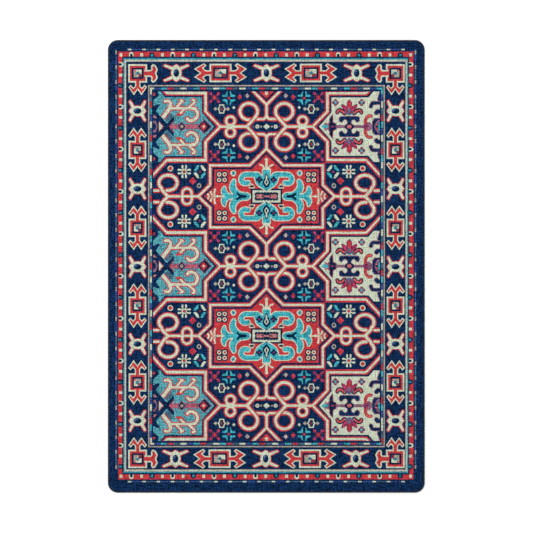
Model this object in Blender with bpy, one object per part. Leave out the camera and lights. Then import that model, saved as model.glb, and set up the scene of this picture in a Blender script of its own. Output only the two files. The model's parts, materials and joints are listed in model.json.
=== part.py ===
"""An area rug: dyed pile tufted through a primary backing, latex, a secondary backing and a serged edge.

Metres, +Z up. The origin is the centre of the underside, X runs across the rug and Y along it.
Every layer is a rounded rectangle. The serging is one yarn whipped round the edge of all of them,
so its section is a C, and what it grips is the crushed rim of each layer.
"""

import math

import bmesh
import bpy

# Driving sizes.
RUG_WIDTH = 1.600
RUG_LENGTH = 2.286
CORNER_RADIUS = 0.050  # of the finished outside edge
CORNER_STEPS = 12  # straight steps in each quarter turn
LAYER_GAP = 0.0003  # left between pieces that touch

# Thickness of each layer, from the floor up.
SECONDARY_BACKING = 0.0020
LATEX = 0.0008
PRIMARY_BACKING = 0.0006
PILE = 0.0052
PILE_CRUSHED = 0.0020  # the pile's height where the serging holds it down
PILE_EDGE_ROUND = 0.0016  # the pile's tips fall away over this at its free edge

# The serging.
SERGING_YARN = 0.0012  # wall of the wrapped yarn
SERGING_REACH = 0.0090  # how far it comes in over the face and the underside
SERGING_ROUND_STEPS = 5  # straight steps in each rounded shoulder

# The care label, glued to the underside near one corner.
LABEL_WIDTH = 0.060
LABEL_LENGTH = 0.040
LABEL_THICKNESS = 0.0003
LABEL_INSET = 0.060  # from the rug's edges to the label's

# Heights that follow from the sizes above.
LATEX_BOTTOM = SECONDARY_BACKING + LAYER_GAP
PRIMARY_BOTTOM = LATEX_BOTTOM + LATEX + LAYER_GAP
PILE_BOTTOM = PRIMARY_BOTTOM + PRIMARY_BACKING + LAYER_GAP
PILE_TOP = PILE_BOTTOM + PILE
SERGING_TOP = PILE_BOTTOM + PILE_CRUSHED + LAYER_GAP + SERGING_YARN

# How far in from the outside edge the layers stop.
GRIPPED_INSET = SERGING_YARN + LAYER_GAP  # a rim inside the serging
FREE_INSET = SERGING_REACH + LAYER_GAP  # a layer beside the serging's lips


def clear_scene():
    for obj in list(bpy.data.objects):
        bpy.data.objects.remove(obj, do_unlink=True)


def new_collection(name):
    collection = bpy.data.collections.new(name)
    bpy.context.scene.collection.children.link(collection)
    return collection


def new_material(name, colour, roughness):
    """A Principled BSDF for cloth, yarn or cured latex, none of them metallic."""
    material = bpy.data.materials.new(name)
    material.use_nodes = True
    shader = material.node_tree.nodes["Principled BSDF"]
    shader.inputs["Base Color"].default_value = (*colour, 1.0)
    shader.inputs["Roughness"].default_value = roughness
    shader.inputs["Metallic"].default_value = 0.0
    return material


def outline(inset):
    """The rug's rounded rectangle, pulled in by inset, anticlockwise from its right side."""
    radius = CORNER_RADIUS - inset
    across = RUG_WIDTH / 2 - CORNER_RADIUS
    along = RUG_LENGTH / 2 - CORNER_RADIUS
    centres = ((across, along), (-across, along), (-across, -along), (across, -along))
    points = []
    for quarter, (x, y) in enumerate(centres):
        for step in range(CORNER_STEPS + 1):
            angle = math.pi / 2 * (quarter + step / CORNER_STEPS)
            points.append((x + radius * math.cos(angle), y + radius * math.sin(angle)))
    return points


def closed_curve(name, points, dimensions):
    """A curve object with one closed spline of straight steps."""
    curve = bpy.data.curves.new(name, "CURVE")
    curve.dimensions = dimensions
    spline = curve.splines.new("POLY")
    spline.points.add(len(points) - 1)
    for point, place in zip(spline.points, points):
        point.co = (place[0], place[1], 0.0, 1.0)
    spline.use_cyclic_u = True
    return bpy.data.objects.new(name, curve)


def to_mesh(obj, collection):
    """Replaces a curve object by a mesh object of the same name, with its caps welded on."""
    collection.objects.link(obj)
    bpy.context.view_layer.update()
    graph = bpy.context.evaluated_depsgraph_get()
    mesh = bpy.data.meshes.new_from_object(obj.evaluated_get(graph))
    work = bmesh.new()
    work.from_mesh(mesh)
    bmesh.ops.remove_doubles(work, verts=work.verts, dist=0.00001)
    bmesh.ops.recalc_face_normals(work, faces=work.faces)
    work.to_mesh(mesh)
    work.free()
    name = obj.name
    place = obj.matrix_world.copy()
    bpy.data.objects.remove(obj, do_unlink=True)
    made = bpy.data.objects.new(name, mesh)
    made.matrix_world = place
    collection.objects.link(made)
    return made


def slab(name, inset, bottom, top, collection):
    """A flat layer in the rug's outline, pulled in by inset."""
    flat = closed_curve(name, outline(inset), "2D")
    flat.data.fill_mode = "BOTH"
    flat.data.extrude = (top - bottom) / 2
    flat.location.z = (top + bottom) / 2
    return to_mesh(flat, collection)


def round_top_edge(obj, radius):
    """Rounds the outline of a slab's upper face."""
    work = bmesh.new()
    work.from_mesh(obj.data)
    top = max(vertex.co.z for vertex in work.verts)
    rim = [
        edge
        for edge in work.edges
        if all(abs(vertex.co.z - top) < 1e-6 for vertex in edge.verts)
        and any(abs(face.normal.z) < 0.5 for face in edge.link_faces)
    ]
    bmesh.ops.bevel(
        work, geom=rim, offset=radius, segments=3, profile=0.5, affect="EDGES", clamp_overlap=True
    )
    work.to_mesh(obj.data)
    work.free()


def add_boolean(obj, other, operation):
    """Joins other to obj, or cuts it from obj, and keeps other as a hidden helper."""
    other.hide_render = True
    other.display_type = "WIRE"
    modifier = obj.modifiers.new(operation.lower(), "BOOLEAN")
    modifier.operation = operation
    modifier.solver = "EXACT"
    modifier.object = other


def finish(obj, material):
    obj.data.materials.clear()
    obj.data.materials.append(material)
    obj.data.shade_smooth()
    obj.data.set_sharp_from_angle(angle=math.radians(35))


def make_secondary_backing(rug, helpers):
    """Woven cloth under the rug. Its rim is crushed to what is left above the serging's lower lip."""
    backing = slab("secondary_backing", FREE_INSET, 0.0, SECONDARY_BACKING, rug)
    rim = slab(
        "secondary_backing_rim", GRIPPED_INSET, SERGING_YARN + LAYER_GAP, SECONDARY_BACKING, helpers
    )
    add_boolean(backing, rim, "UNION")
    add_boolean(backing, make_label_seat(helpers), "DIFFERENCE")
    finish(backing, new_material("woven_polypropylene", (0.70, 0.64, 0.52), 0.85))


def make_latex_layer(rug):
    """Cured latex that locks the tufts and glues the two backings together."""
    layer = slab("latex_layer", GRIPPED_INSET, LATEX_BOTTOM, LATEX_BOTTOM + LATEX, rug)
    finish(layer, new_material("cured_latex", (0.82, 0.78, 0.68), 0.6))


def make_primary_backing(rug):
    """The cloth that the pile is tufted through."""
    top = PRIMARY_BOTTOM + PRIMARY_BACKING
    layer = slab("primary_backing", GRIPPED_INSET, PRIMARY_BOTTOM, top, rug)
    finish(layer, new_material("primary_cloth", (0.62, 0.58, 0.50), 0.85))


def make_pile(rug, helpers):
    """The dyed face. It stands free inside the serging and is crushed under the upper lip."""
    pile = slab("pile", FREE_INSET, PILE_BOTTOM, PILE_TOP, rug)
    round_top_edge(pile, PILE_EDGE_ROUND)
    rim = slab("pile_rim", GRIPPED_INSET, PILE_BOTTOM, PILE_BOTTOM + PILE_CRUSHED, helpers)
    add_boolean(pile, rim, "UNION")
    finish(pile, new_material("dyed_nylon_pile", (0.010, 0.045, 0.130), 0.95))


def serging_section():
    """The C of wrapped yarn, open towards the rug. X is outwards from the edge and Y is up."""
    shoulder = SERGING_TOP / 2
    points = [(-SERGING_REACH, 0.0)]
    for centre_angle in (-90.0, 0.0):
        for step in range(SERGING_ROUND_STEPS + 1):
            angle = math.radians(centre_angle + 90.0 * step / SERGING_ROUND_STEPS)
            place = (-shoulder + shoulder * math.cos(angle), shoulder + shoulder * math.sin(angle))
            if place not in points:
                points.append(place)
    points += [
        (-SERGING_REACH, SERGING_TOP),
        (-SERGING_REACH, SERGING_TOP - SERGING_YARN),
        (-SERGING_YARN, SERGING_TOP - SERGING_YARN),
        (-SERGING_YARN, SERGING_YARN),
        (-SERGING_REACH, SERGING_YARN),
    ]
    return points


def make_serging(rug, helpers):
    """The C section swept round the rug's outline."""
    section = closed_curve("serging_section", serging_section(), "2D")
    helpers.objects.link(section)
    section.hide_render = True
    section.display_type = "WIRE"
    path = closed_curve("serging", outline(0.0), "3D")
    path.data.twist_mode = "Z_UP"
    path.data.bevel_mode = "OBJECT"
    path.data.bevel_object = section
    serging = to_mesh(path, rug)
    finish(serging, new_material("serging_yarn", (0.006, 0.008, 0.016), 0.9))


def label_slab(name, clearance, bottom, top, collection):
    """A box in the label's place, larger all round by clearance."""
    work = bmesh.new()
    bmesh.ops.create_cube(work, size=1.0)
    size = (LABEL_WIDTH + 2 * clearance, LABEL_LENGTH + 2 * clearance, top - bottom)
    bmesh.ops.scale(work, vec=size, verts=work.verts)
    mesh = bpy.data.meshes.new(name)
    work.to_mesh(mesh)
    work.free()
    label = bpy.data.objects.new(name, mesh)
    label.location = (
        RUG_WIDTH / 2 - LABEL_INSET - LABEL_WIDTH / 2,
        LABEL_INSET + LABEL_LENGTH / 2 - RUG_LENGTH / 2,
        (top + bottom) / 2,
    )
    collection.objects.link(label)
    return label


def make_label_seat(helpers):
    """Cuts the shallow place that the label presses into the backing."""
    below = LABEL_THICKNESS  # so the cutter runs past the underside
    return label_slab("label_seat", LAYER_GAP, -below, LABEL_THICKNESS + LAYER_GAP, helpers)


def make_care_label(rug):
    """A blank cloth label, flush with the underside."""
    label = label_slab("care_label", 0.0, 0.0, LABEL_THICKNESS, rug)
    finish(label, new_material("label_cloth", (0.85, 0.85, 0.83), 0.7))


def main():
    clear_scene()
    rug = new_collection("area_rug")
    helpers = new_collection("cutters")
    make_secondary_backing(rug, helpers)
    make_latex_layer(rug)
    make_primary_backing(rug)
    make_pile(rug, helpers)
    make_serging(rug, helpers)
    make_care_label(rug)


main()
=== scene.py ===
import json
import math

import bpy
import numpy as np
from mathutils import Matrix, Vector
from mathutils.geometry import delaunay_2d_cdt

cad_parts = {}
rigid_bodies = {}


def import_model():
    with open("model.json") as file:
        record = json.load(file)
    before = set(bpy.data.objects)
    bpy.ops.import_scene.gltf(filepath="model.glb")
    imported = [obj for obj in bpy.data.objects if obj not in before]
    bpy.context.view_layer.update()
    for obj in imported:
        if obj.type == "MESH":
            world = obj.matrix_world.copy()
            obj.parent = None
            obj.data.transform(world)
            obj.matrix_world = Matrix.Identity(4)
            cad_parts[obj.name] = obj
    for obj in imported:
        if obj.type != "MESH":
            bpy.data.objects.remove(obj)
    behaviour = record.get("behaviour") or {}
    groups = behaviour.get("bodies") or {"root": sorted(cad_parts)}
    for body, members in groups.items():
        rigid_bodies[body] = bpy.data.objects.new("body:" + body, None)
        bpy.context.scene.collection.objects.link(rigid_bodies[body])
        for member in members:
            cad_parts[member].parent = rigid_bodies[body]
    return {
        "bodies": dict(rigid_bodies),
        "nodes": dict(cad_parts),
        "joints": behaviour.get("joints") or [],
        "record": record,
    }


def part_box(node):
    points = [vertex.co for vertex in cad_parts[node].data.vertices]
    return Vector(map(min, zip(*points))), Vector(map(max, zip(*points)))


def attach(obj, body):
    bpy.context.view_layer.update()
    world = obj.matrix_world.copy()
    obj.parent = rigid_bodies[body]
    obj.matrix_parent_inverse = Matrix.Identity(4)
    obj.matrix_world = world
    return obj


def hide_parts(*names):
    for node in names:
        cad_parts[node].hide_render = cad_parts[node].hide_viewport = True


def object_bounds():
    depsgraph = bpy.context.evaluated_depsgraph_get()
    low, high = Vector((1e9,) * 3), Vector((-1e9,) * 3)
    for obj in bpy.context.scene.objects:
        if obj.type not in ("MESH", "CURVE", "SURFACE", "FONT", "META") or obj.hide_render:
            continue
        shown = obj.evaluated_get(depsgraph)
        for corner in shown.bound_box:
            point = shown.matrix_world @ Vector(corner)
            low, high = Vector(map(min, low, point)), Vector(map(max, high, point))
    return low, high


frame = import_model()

cad_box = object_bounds()
rug_low, rug_high = cad_box

# ---------------------------------------------------------------------------------------------
# Primary backing. The plain woven polypropylene cloth that the pile is tufted through.
# It lies under the pile and over the latex, and is held at its edge by the serging.
# ---------------------------------------------------------------------------------------------

MM = 0.001


def linear(hex_colour):
    """A hex sRGB colour as linear red, green, blue and alpha."""
    parts = [int(hex_colour[place:place + 2], 16) / 255 for place in (1, 3, 5)]
    return [part / 12.92 if part <= 0.04045 else ((part + 0.055) / 1.055) ** 2.4 for part in parts] + [1.0]


def add_node(tree, kind, inputs=None, **settings):
    """Adds a node with its settings. An input is given a value, or another node's output to join."""
    made = tree.nodes.new(kind)
    for name, value in settings.items():
        setattr(made, name, value)
    for name, value in (inputs or {}).items():
        if isinstance(value, bpy.types.NodeSocket):
            tree.links.new(value, made.inputs[name])
        else:
            made.inputs[name].default_value = value
    return made


def cloth_material(name, roughness, sheen):
    """An empty cloth-like material, with its tree, its shader and the piece's own coordinates."""
    material = bpy.data.materials.new(name)
    material.use_nodes = True
    tree = material.node_tree
    shader = tree.nodes["Principled BSDF"]
    shader.inputs["Roughness"].default_value = roughness
    shader.inputs["Specular IOR Level"].default_value = 0.25
    shader.inputs["Sheen Weight"].default_value = sheen
    shader.inputs["Sheen Roughness"].default_value = 0.5
    place = add_node(tree, "ShaderNodeTexCoord").outputs["Object"]
    return material, tree, shader, place


def colour_steps(tree, factor, steps):
    """A ramp through hex colours at the given places."""
    ramp = add_node(tree, "ShaderNodeValToRGB", {"Fac": factor})
    while len(ramp.color_ramp.elements) < len(steps):
        ramp.color_ramp.elements.new(0.5)
    for element, (place, hex_colour) in zip(ramp.color_ramp.elements, steps):
        element.position = place
        element.color = linear(hex_colour)
    return ramp.outputs["Color"]


def woven_tape(name, tape, low, high, relief, roughness=0.75, sheen=0.1):
    """Woven polypropylene: flat shiny tapes that pass over and under each other, tape metres apart. The
    colour darkens with the weave's height, as painted shade in the grooves between tapes, and varies with a
    random fleck.
    """
    material, tree, shader, place = cloth_material(name, roughness, sheen)
    across = add_node(tree, "ShaderNodeTexWave", {"Vector": place, "Scale": 0.314 / tape, "Distortion": 0.6,
                      "Detail": 1.0}, bands_direction="X")
    along = add_node(tree, "ShaderNodeTexWave", {"Vector": place, "Scale": 0.314 / tape, "Distortion": 0.6,
                     "Detail": 1.0}, bands_direction="Y")
    over = add_node(tree, "ShaderNodeTexChecker", {"Vector": place, "Scale": 1 / tape})
    height = add_node(tree, "ShaderNodeMix", {0: over.outputs["Fac"], 2: across.outputs["Fac"],
                      3: along.outputs["Fac"]})
    fleck = add_node(tree, "ShaderNodeTexNoise", {"Vector": place, "Scale": 0.25 / tape, "Detail": 3.0})
    # Painted shade: the weave's height darkens the colour in the grooves between tapes; the fleck adds random
    # tone.
    shade = add_node(tree, "ShaderNodeMath", {0: height.outputs[0], 1: fleck.outputs["Fac"]},
                     operation="MULTIPLY")
    colour = colour_steps(tree, shade.outputs[0], ((0.05, low), (0.6, high)))
    bump = add_node(tree, "ShaderNodeBump", {"Height": height.outputs[0], "Distance": relief,
                                             "Strength": 0.7})
    tree.links.new(colour, shader.inputs["Base Color"])
    tree.links.new(bump.outputs["Normal"], shader.inputs["Normal"])
    return material


def dress(node, material):
    """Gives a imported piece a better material."""
    piece = frame["nodes"][node]
    piece.data.materials.clear()
    piece.data.materials.append(material)
    return piece


primary = dress("primary_backing", woven_tape("primary_cloth_woven_tape", 1.3 * MM, "#8f8976", "#cbc4ae",
                                              0.15 * MM))

# ---------------------------------------------------------------------------------------------
# Pile. Cut nylon tufts, printed with acid dyes in an antique tribal pattern and sheared level.
# Each dye's tufts are one piece, cut out of the same sheet, and stand on the primary backing.
# ---------------------------------------------------------------------------------------------

drawing = []  # (dye, outline) in millimetres, each laid over those before it


def lay(dye, outline):
    drawing.append((dye, outline))


def arc(centre, radius, start, end, flat=1.0):
    """Points round a circle in degrees, or round an ellipse flat times as high as it is wide."""
    coarsest = 2 * math.degrees(math.acos(1 - min(0.2 / radius, 0.3)))
    steps = max(2, math.ceil(abs(end - start) / coarsest))
    angles = [math.radians(start + (end - start) * step / steps) for step in range(steps + 1)]
    return [
        (centre[0] + radius * math.cos(angle), centre[1] + flat * radius * math.sin(angle))
        for angle in angles
    ]


def ring(centre, radius):
    """A whole circle as a path that ends exactly where it starts."""
    path = arc(centre, radius, 0, 360)
    return path[:-1] + path[:1]


def disc(dye, x, y, radius, flat=1.0):
    lay(dye, arc((x, y), radius, 0, 360, flat)[:-1])


def diamond(dye, x, y, across, up):
    lay(dye, [(x + across, y), (x, y + up), (x - across, y), (x, y - up)])


def box(dye, left, bottom, right, top):
    lay(dye, [(left, bottom), (right, bottom), (right, top), (left, top)])


def smooth(points, closed=False):
    """A curve through given points, with three points added between each two."""
    count = len(points)
    curve = []
    for place in range(count if closed else count - 1):
        near = [points[(place + step) % count] if closed else points[min(max(place + step, 0), count - 1)]
                for step in (-1, 0, 1, 2)]
        for t in (0, 0.25, 0.5, 0.75):
            curve.append(tuple(
                b + 0.5 * t * (c - a + t * (2 * a - 5 * b + 4 * c - d + t * (3 * (b - c) + d - a)))
                for a, b, c, d in zip(*near)
            ))
    return curve if closed else curve + [points[-1]]


def shifted(path, distance):
    """The path moved to its left, with mitred corners. It is closed if it ends where it starts."""
    closed = path[0] == path[-1]
    last = len(path) - 1
    moved = []
    for place, (x, y) in enumerate(path):
        before = path[place - 1] if place else path[-2] if closed else None
        after = path[place + 1] if place < last else path[1] if closed else None
        normals = []
        for start, end in ((before, (x, y)), ((x, y), after)):
            if start and end:
                length = math.dist(start, end) or 1.0
                normals.append(((start[1] - end[1]) / length, (end[0] - start[0]) / length))
        nx = sum(normal[0] for normal in normals) / len(normals)
        ny = sum(normal[1] for normal in normals) / len(normals)
        scale = distance / max(nx * nx + ny * ny, 0.3)
        moved.append((x + nx * scale, y + ny * scale))
    return moved


def band(dye, path, width):
    """A stripe of the given width along a path."""
    left = shifted(path, width / 2)
    right = shifted(path, -width / 2)
    for place in range(len(path) - 1):
        lay(dye, [left[place], left[place + 1], right[place + 1], right[place]])


def hook(dye, path, width, end):
    """A stripe along a path, with a round end of the given radius."""
    band(dye, path, width)
    disc(dye, *path[-1], end)


def grown(outline, distance):
    """A closed outline made larger all round."""
    area = sum(a[0] * b[1] - b[0] * a[1] for a, b in zip(outline, outline[1:] + outline[:1]))
    return shifted(outline + outline[:1], -distance if area > 0 else distance)[:-1]


def edged(paths, width=11.0, edge=6.5, dye="ivory", rim="red"):
    """Joined stripes in one dye with a rim in another on both sides."""
    for path in paths:
        band(rim, path, width + 2 * edge)
    for path in paths:
        band(dye, path, width)


def flipped(path, across=False, up=False):
    return [(-x if across else x, -y if up else y) for x, y in path]


def both_sides(path):
    return [path, flipped(path, across=True)]


def above_and_below(path):
    return [path, flipped(path, up=True)]


def four_ways(path):
    return above_and_below(path) + above_and_below(flipped(path, across=True))


def whole(half, across=False, up=False):
    """A closed outline from one half, whose two ends lie on the line that it is mirrored in."""
    return half + flipped(half, across, up)[-2:0:-1]


def blob(dye, points):
    """A closed shape with no corners, through given points."""
    lay(dye, smooth(points, True))


def place(motif, x, y, across=False, up=False, turned=False):
    """Draws a motif with its middle at x, y, after mirroring it or swapping its axes."""
    first = len(drawing)
    motif()
    for index in range(first, len(drawing)):
        dye, outline = drawing[index]
        if turned:
            outline = [(py, px) for px, py in outline]
        drawing[index] = (dye, [(px + x, py + y) for px, py in flipped(outline, across, up)])


def place_both_ways(motif, x, y):
    for across in (False, True):
        place(motif, x, y, across)


def place_four_ways(motif, x, y):
    for across in (False, True):
        for up in (False, True):
            place(motif, x, y, across, up)


ROW = 704.0  # from one row of side panels to the next
FIELD_MIDDLE = (1.0, 1.0)  # the printed field sits a little off the rug's middle
GUARD_MIDDLE = (-2.5, 4.0)  # and so do the outer guards

# ---- the centre figure between two medallions


def centre_figure():
    edged(both_sides([(-99, 0), (-236, 0)]) + four_ways(ring((-182, 28.5), 22.4)), 11.5, 7)
    feet = four_ways([(0, 58), (-4, 46), (-14, 38.5), (-60, 37.5)])
    edged(feet + above_and_below([(0, 50), (0, 125)]), 11, 6.5)
    for side in (1, -1):
        lay("navy", [(-6, 20 * side), (-5, 28 * side), (0, 38 * side), (5, 28 * side), (6, 20 * side)])
    # Each loop's end tucks in under the line that leads into it.
    edged(four_ways(arc((-89.5, 76), 44, 170, 300, 0.94)), 13, 7)
    edged(four_ways([(-99, 0), (-61, 42)] + arc((-89.5, 76), 44, -32, 190, 0.94)), 13, 7)
    edged([[(-102, 0), (-110, 0)], [(102, 0), (110, 0)]], 11.5, 0.1, rim="ivory")


def eye_beads():
    blob("ivory", [(16, 0), (7, 8), (0, 14), (-7, 8), (-16, 0), (-7, -8), (0, -14), (7, -8)])
    for side in (-1, 1):
        disc("sand", 27 * side, 0, 5)
        disc("ivory", 46 * side, 0, 10)
        disc("crimson", 46 * side, 0, 4)
        disc("mauve", 66 * side, 0, 3.5)


def pinwheel_petals():
    """Four pink petals round a red diamond."""
    for across, up in ((-1, 1), (1, 1), (-1, -1), (1, -1)):
        band("plum", [(5 * across, 5 * up), (16 * across, 16 * up)], 4)
        band("plum", [(19 * across, 3 * up), (8 * across, 15 * up)], 2.5)
        lay("rose", [(11 * across, 20 * up), (15 * across, 27 * up), (27 * across, 27 * up),
                     (26 * across, 17 * up), (19 * across, 11 * up), (15 * across, 14 * up)])
    diamond("red", 0, 0, 11, 13)


def four_blades(first, second):
    """Curved blades in two dyes, one pair across each diagonal."""
    blade = [(3, 33), (14, 32), (25, 17), (33, 5), (20, 3), (8, 16)]
    for across, up, dye in ((True, False, first), (False, False, second), (True, True, second),
                            (False, True, first)):
        lay(dye, flipped(blade, across, up))


def blade_star():
    blade = smooth([(7, 8), (7, 20), (5, 33), (11, 31), (16, 19), (31, 14), (33, 8), (18, 6)], True)
    for way in four_ways(blade):
        lay("cyan", way)
    diamond("red", 0, 0, 8, 8)


def cross_flower():
    """A six-sided ivory blossom with waisted sides, and a grey bud on each side."""
    quarter = [(21.5, 0), (14, 10), (12.5, 23)]
    outline = whole(quarter + flipped(quarter, across=True)[::-1], up=True)
    for side in (-1, 1):
        diamond("sand", 31 * side, 0, 11, 10)
        disc("ivory", 34 * side, 0, 3)
    lay("ivory", outline)
    lay("ink", grown(outline, -5.5))
    disc("crimson", 1, 0, 5, 2)
    disc("teal", -8, 0, 4)
    disc("slate", 4, 15, 3)


def centre_fillers():
    place(pinwheel_petals, -262, 147)
    place(blade_star, -190, 144)
    diamond("rose", -135, 149, 12, 15)
    diamond("red", -135, 149, 9, 11)
    place(cross_flower, -226, 89)
    diamond("ivory", -165, 96, 8, 8.5)
    star = [(13, 0), (6, 6), (0, 14), (-6, 6), (-13, 0), (-6, -6), (0, -14), (6, -6)]
    lay("salmon", [(x - 97, y + 156) for x, y in star])
    disc("ivory", -97, 156, 6, 1.3)
    disc("cyan", -97, 156, 4, 1.4)


# ---- the medallion


def medallion_frame():
    """Returns the middle of the frame's ivory stripe, from one end of the medallion to the other and back."""
    quarter = [(-344, 0), (-284, 58), (-284, 156.5), (-84, 156.5), (0, 241)]
    upper = quarter + flipped(quarter, across=True)[-2::-1]
    return upper + flipped(upper, up=True)[-2::-1]


def medallion():
    frame = medallion_frame()
    edged([frame], 10.5, 7)
    lay("navy", shifted(frame, -10.5)[:-1])
    lay("red", shifted(frame, -20.5)[:-1])
    for side in (-1, 1):
        band("ivory", [(0, 242 * side), (0, 264 * side)], 11)
        band("ivory", [(342 * side, 0), (366 * side, 0)], 11)
    medallion_block()
    for way in (False, True):
        place(scrolls, 0, 0, up=way)
        place(leaves, 0, 0, across=way)
    place_four_ways(medallion_fillers, 0, 0)


def medallion_block():
    box("ink", -80, -39, 80, 39)
    box("ivory", -70.5, -30.5, 70.5, 30.5)
    right = [(52, -22), (61, -13), (56, 0), (61, 13), (52, 22)]
    lay("ink", right + flipped(right, across=True)[::-1])
    for step in range(-3, 4):
        for side in (-1, 1):
            lay("ivory", [(15 * step - 5, 23 * side), (15 * step, 17 * side), (15 * step + 5, 23 * side)])
    for side in (-1, 1):
        lay("salmon", [(side * x, y) for x, y in
                       ((51, 10.5), (51, -10.5), (20, -10.5), (9, -4), (0, -4), (0, 4), (9, 4), (20, 10.5))])
        disc("ink", 19 * side, 1, 5)


def four_petals(dye, x, y, radius):
    for step_x, step_y in ((10, 0), (0, 10), (-10, 0), (0, -10)):
        disc(dye, x + step_x, y + step_y, radius)


def scrolls():
    """The upper pair of turquoise scrolls, the sprig over them and the pendant between them."""
    stem = [(-6, 130), (-6, 180), (6, 180), (6, 130)]
    lay("ivory", stem)
    diamond("ivory", 0, 186, 10, 9)
    for way in both_sides(smooth([(-36, 160), (-24, 157), (-14, 148), (-8, 134)])):
        band("ivory", way, 8)
    lay("ivory", [(-15, 146), (-20, 134), (20, 134), (15, 146)])
    half = [(0, 29), (-16, 38), (-31, 47), (-44, 57), (-53, 70), (-57, 84), (-60, 94), (-60, 121), (-45, 121),
            (-34, 115), (-25, 105), (-18, 100), (-18, 133)]
    body = half + flipped(half, across=True)[:0:-1]
    curls = both_sides(smooth([(-56, 110), (-103, 110), (-120, 103), (-128, 87), (-122, 72), (-108, 66),
                               (-94, 69)]))
    lay("ivory", grown(body, 5))
    for curl in curls:
        hook("ivory", curl, 31, 15)
    lay("cyan", body)
    for curl in curls:
        hook("cyan", curl, 22, 10.5)
    for side in (-1, 1):
        four_petals("navy", 36 * side, 84, 7.5)
        diamond("plum", 36 * side, 84, 6, 6)
    kite = [(0, 117), (-8, 103), (-13, 86), (-21, 71), (-17, 60), (-8, 47), (0, 41)]
    lay("navy", whole(kite, across=True))
    disc("ivory", 0, 97, 4.5, 2.3)
    loop = [(-3, 88), (-12, 71), (0, 54)]
    lay("ivory", loop + flipped(loop, across=True)[1::-1])
    diamond("navy", 0, 72, 5.5, 12)
    diamond("teal", 0, 33, 8, 8)


def leaves():
    """The turquoise leaves on the left of the block, with the sprig that points away from them."""
    upper = smooth([(-83, 0), (-86, 9), (-96, 16), (-112, 18), (-126, 19), (-140, 26), (-152, 40),
                    (-158, 58), (-156, 74), (-160, 84), (-168, 84), (-177, 72), (-184, 54), (-183, 36),
                    (-175, 20), (-165, 11)])
    upper += smooth([(-170, 9), (-182, 11), (-193, 16), (-201, 24), (-206, 34), (-208, 46), (-213, 50),
                     (-221, 40), (-226, 26), (-224, 13), (-214, 0)])
    leaf = whole(upper, up=True)
    lay("ivory", grown(leaf, 5))
    lay("cyan", leaf)
    slot = [(-98, 0), (-104, 7), (-130, 9), (-149, 22), (-153, 13), (-139, 0)]
    lay("ink", whole(slot, up=True))
    band("ivory", [(-212, 0), (-271, 0)], 7)
    diamond("ivory", -247, 0, 8, 9)
    for side in (-1, 1):
        for ends, width in ((((-262, 6), (-263, 20), (-260, 34)), 9),
                            (((-274, 4), (-277, 12), (-281, 22)), 8.5),
                            (((-288, 0), (-292, 4), (-295, 10)), 8.5)):
            hook("ivory", [(x, y * side) for x, y in ends], width, width / 2 + 1.2)


def medallion_fillers():
    for x, y in ((-239, 111), (-211, 111), (-239, 83), (-211, 83)):
        disc("ink", x, y, 17)
    for x, y in ((-239, 111), (-211, 111), (-239, 83), (-211, 83)):
        disc("ivory", x, y, 11)
        disc("red", x, y, 6)
    diamond("plum", -225, 97, 5, 5)
    blob("ivory", [(-168, 133), (-152, 118), (-167, 100), (-183, 118)])
    blob("cyan", [(-168, 128), (-158, 118), (-167, 106), (-177, 118)])
    blob("slate", [(-168, 124), (-162, 119), (-168, 114), (-174, 119)])
    lay("ivory", [(-73, 66), (-65, 57), (-58, 47), (-61, 40), (-86, 40), (-90, 47), (-82, 56)])
    lay("ink", [(-74, 57), (-64, 52), (-62, 45), (-85, 45), (-83, 52)])


# ---- the ground beside the medallions


def side_fillers():
    """One quarter of the ground at a medallion's left end."""
    place(rosette, -415, 125)
    disc("ivory", -485, 141, 14.5)
    disc("red", -485, 141, 10)
    place(lambda: four_blades("cyan", "ivory"), -336, 124)
    diamond("crimson", -336, 124, 8, 7)
    lay("rose", [(-373, 98), (-353, 78), (-373, 58), (-392, 78)])
    diamond("red", -373, 78, 17, 18)
    diamond("rose", -373, 78, 7, 7)
    disc("sand", -340, 54, 11.5, 1.1)
    disc("navy", -340, 54, 5.5, 1.2)


def rosette():
    petal = smooth([(4, 9), (5, 20), (4, 29), (9, 34), (14, 28), (12, 17), (8, 11)], True)
    for way in four_ways(petal):
        lay("ivory", way)
        lay("ivory", [(y, x) for x, y in way])
    disc("ivory", 0, 0, 13)
    disc("crimson", 0, 0, 8)
    disc("red", 0, 1, 5.5)


def side_loops():
    """The loops and the arch on the line from a medallion's left end to the field's edge."""
    line = [(-343, 0), (-498, 0)]
    arches = above_and_below([(-424.5, 0)] + arc((-401, 16), 23.5, 180, 0) + [(-377.5, 0)])
    edged([line] + arches, 11, 7)
    edged(above_and_below([(-540, 29), (-600, 29)]), 11, 6.5)
    loops = above_and_below([(-498, 0), (-527, 32)] + arc((-496.5, 68.5), 46, 223, -97, 0.84))
    for loop in loops:
        disc("red", *loop[-1], 13)
    edged(loops, 14, 6)
    for loop in loops:
        disc("ivory", *loop[-1], 7)


# ---- the side panels


def panel_frame(thick):
    """A left panel's frame, from the field's edge round its point and back. Its line is thick at the ends."""
    corner = [(-588, 261), (-503, 169), (-307, 169), (-307, 76), (-232.5, 0)]
    frame = corner + flipped(corner, up=True)[-2::-1]
    edged([frame], 9.5, 8)
    for side in (-1, 1):
        lay("red", [(-514, 183 * side), (-495, 156 * side), (-300, 156 * side), (-300, 183 * side)])
    band("ivory", frame, 9.5)
    for side in (-1, 1):
        lay("ivory", [(-499 - 0.7 * thick, (162.5 + thick) * side), (-499, 162.5 * side),
                      (-301.3, 162.5 * side), (-301.3, (162.5 + thick) * side)])
        band("ivory", [(-307.3, 168 * side), (-307.3, 74 * side)], 12)
    band("ivory", [(-208, 0), (-241, 0)], 11)


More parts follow.
